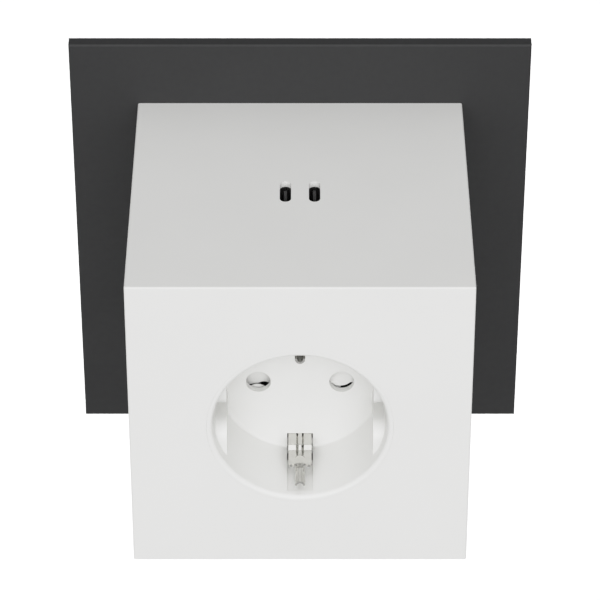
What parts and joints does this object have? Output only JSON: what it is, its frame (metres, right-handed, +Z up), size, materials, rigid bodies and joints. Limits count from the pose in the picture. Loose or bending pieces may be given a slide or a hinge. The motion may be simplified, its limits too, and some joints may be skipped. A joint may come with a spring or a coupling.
{
  "type": "smart plug adapter",
  "caption": "White cube-shaped switching plug adapter on a square back plate, with a round earthed socket well in front and charging ports on top.",
  "frame": {"origin": "centre of the back plate's rear face, on the plug's axis", "axes": "+Y along the plug's pins into the wall, +Z up, +X to the right as seen from the front"},
  "size_m": [0.1082, 0.1155, 0.1082],
  "materials": {
    "white_housing": "satin white moulded plastic",
    "anthracite_plate": "fine matt anthracite plastic",
    "dark_plastic": "dark grey moulded plastic",
    "screw_steel": "zinc-plated steel",
    "white_insert": "satin white moulded plastic",
    "white_shutter": "satin white moulded plastic",
    "spring_steel": "bare spring steel",
    "contact_brass": "bare brass",
    "nickel_strip": "nickel-plated spring strip",
    "nose_plastic": "matt anthracite plastic",
    "nickel_pin": "nickel-plated brass",
    "board": "green glass-fibre board",
    "relay_plastic": "blue relay cover",
    "copper_winding": "lacquered copper wire",
    "iron": "zinc-plated iron",
    "ferrite": "dark ferrite",
    "tape_winding": "yellow polyester tape",
    "can_sleeve": "black sleeve on an aluminium can",
    "film_box": "yellow box capacitor",
    "chip_plastic": "black moulding compound",
    "ceramic_tube": "ceramic tube with metal caps",
    "varistor_coat": "blue epoxy coat",
    "port_steel": "drawn stainless steel",
    "port_plastic": "black contact carrier",
    "can_metal": "tinned shield can",
    "white_button": "satin white moulded plastic",
    "led_lens": "white lamp body",
    "light_guide": "clear light guide"
  },
  "bodies": {
    "adapter": {"housing_shell": "white_housing", "wall_plate": "anthracite_plate", "rear_cover": "dark_plastic", "housing_screws": "screw_steel", "socket_insert": "white_insert", "insert_screws": "screw_steel", "shutter_spring": "spring_steel", "contact_carrier": "dark_plastic", "carrier_screws": "screw_steel", "socket_contact_left": "contact_brass", "socket_contact_right": "contact_brass", "socket_earth_strap": "nickel_strip", "plug_nose": "nose_plastic", "nose_screws": "screw_steel", "plug_pin_left": "nickel_pin", "plug_pin_right": "nickel_pin", "plug_earth_strips": "nickel_strip", "lead_left": "contact_brass", "lead_right": "contact_brass", "earth_lead": "contact_brass", "power_board": "board", "board_screws": "screw_steel", "relay_base": "dark_plastic", "relay_case": "relay_plastic", "relay_coil": "copper_winding", "relay_yoke": "iron", "relay_fixed_contact": "contact_brass", "transformer_core": "ferrite", "transformer_winding": "tape_winding", "input_capacitors": "can_sleeve", "output_capacitors": "can_sleeve", "filter_capacitor": "film_box", "line_choke": "copper_winding", "bridge_rectifier": "chip_plastic", "fuse": "ceramic_tube", "varistor": "varistor_coat", "metering_shunt": "contact_brass", "port_board": "board", "port_board_screws": "screw_steel", "port_shell_left": "port_steel", "port_shell_right": "port_steel", "port_tongue_left": "port_plastic", "port_tongue_right": "port_plastic", "port_header": "chip_plastic", "port_inductor": "ferrite", "radio_board": "board", "radio_board_screws": "screw_steel", "radio_shield": "can_metal", "radio_header": "chip_plastic", "button_switch": "chip_plastic", "status_light": "led_lens", "light_guide": "light_guide"},
    "shutter": {"shutter": "white_shutter"},
    "button": {"pairing_button": "white_button", "switch_plunger": "chip_plastic"},
    "armature": {"relay_armature": "iron", "relay_moving_contact": "contact_brass"}
  },
  "joints": [
    {"name": "shutter_turn", "type": "hinge", "parent": "adapter", "child": "shutter", "pos_m": [0, -0.0587, 0], "axis": [0, 1, 0], "range_deg": [0, 66], "stiffness_Nm_per_rad": 0.01},
    {"name": "button_press", "type": "slide", "parent": "adapter", "child": "button", "axis": [0, 0, 1], "range_m": [0, 0.0005], "stiffness_N_per_m": 400},
    {"name": "armature_swing", "type": "hinge", "parent": "adapter", "child": "armature", "pos_m": [-0.0098, -0.0249, -0.015], "axis": [0, 0, 1], "range_deg": [0, 2.6], "stiffness_Nm_per_rad": 0.02}
  ]
}
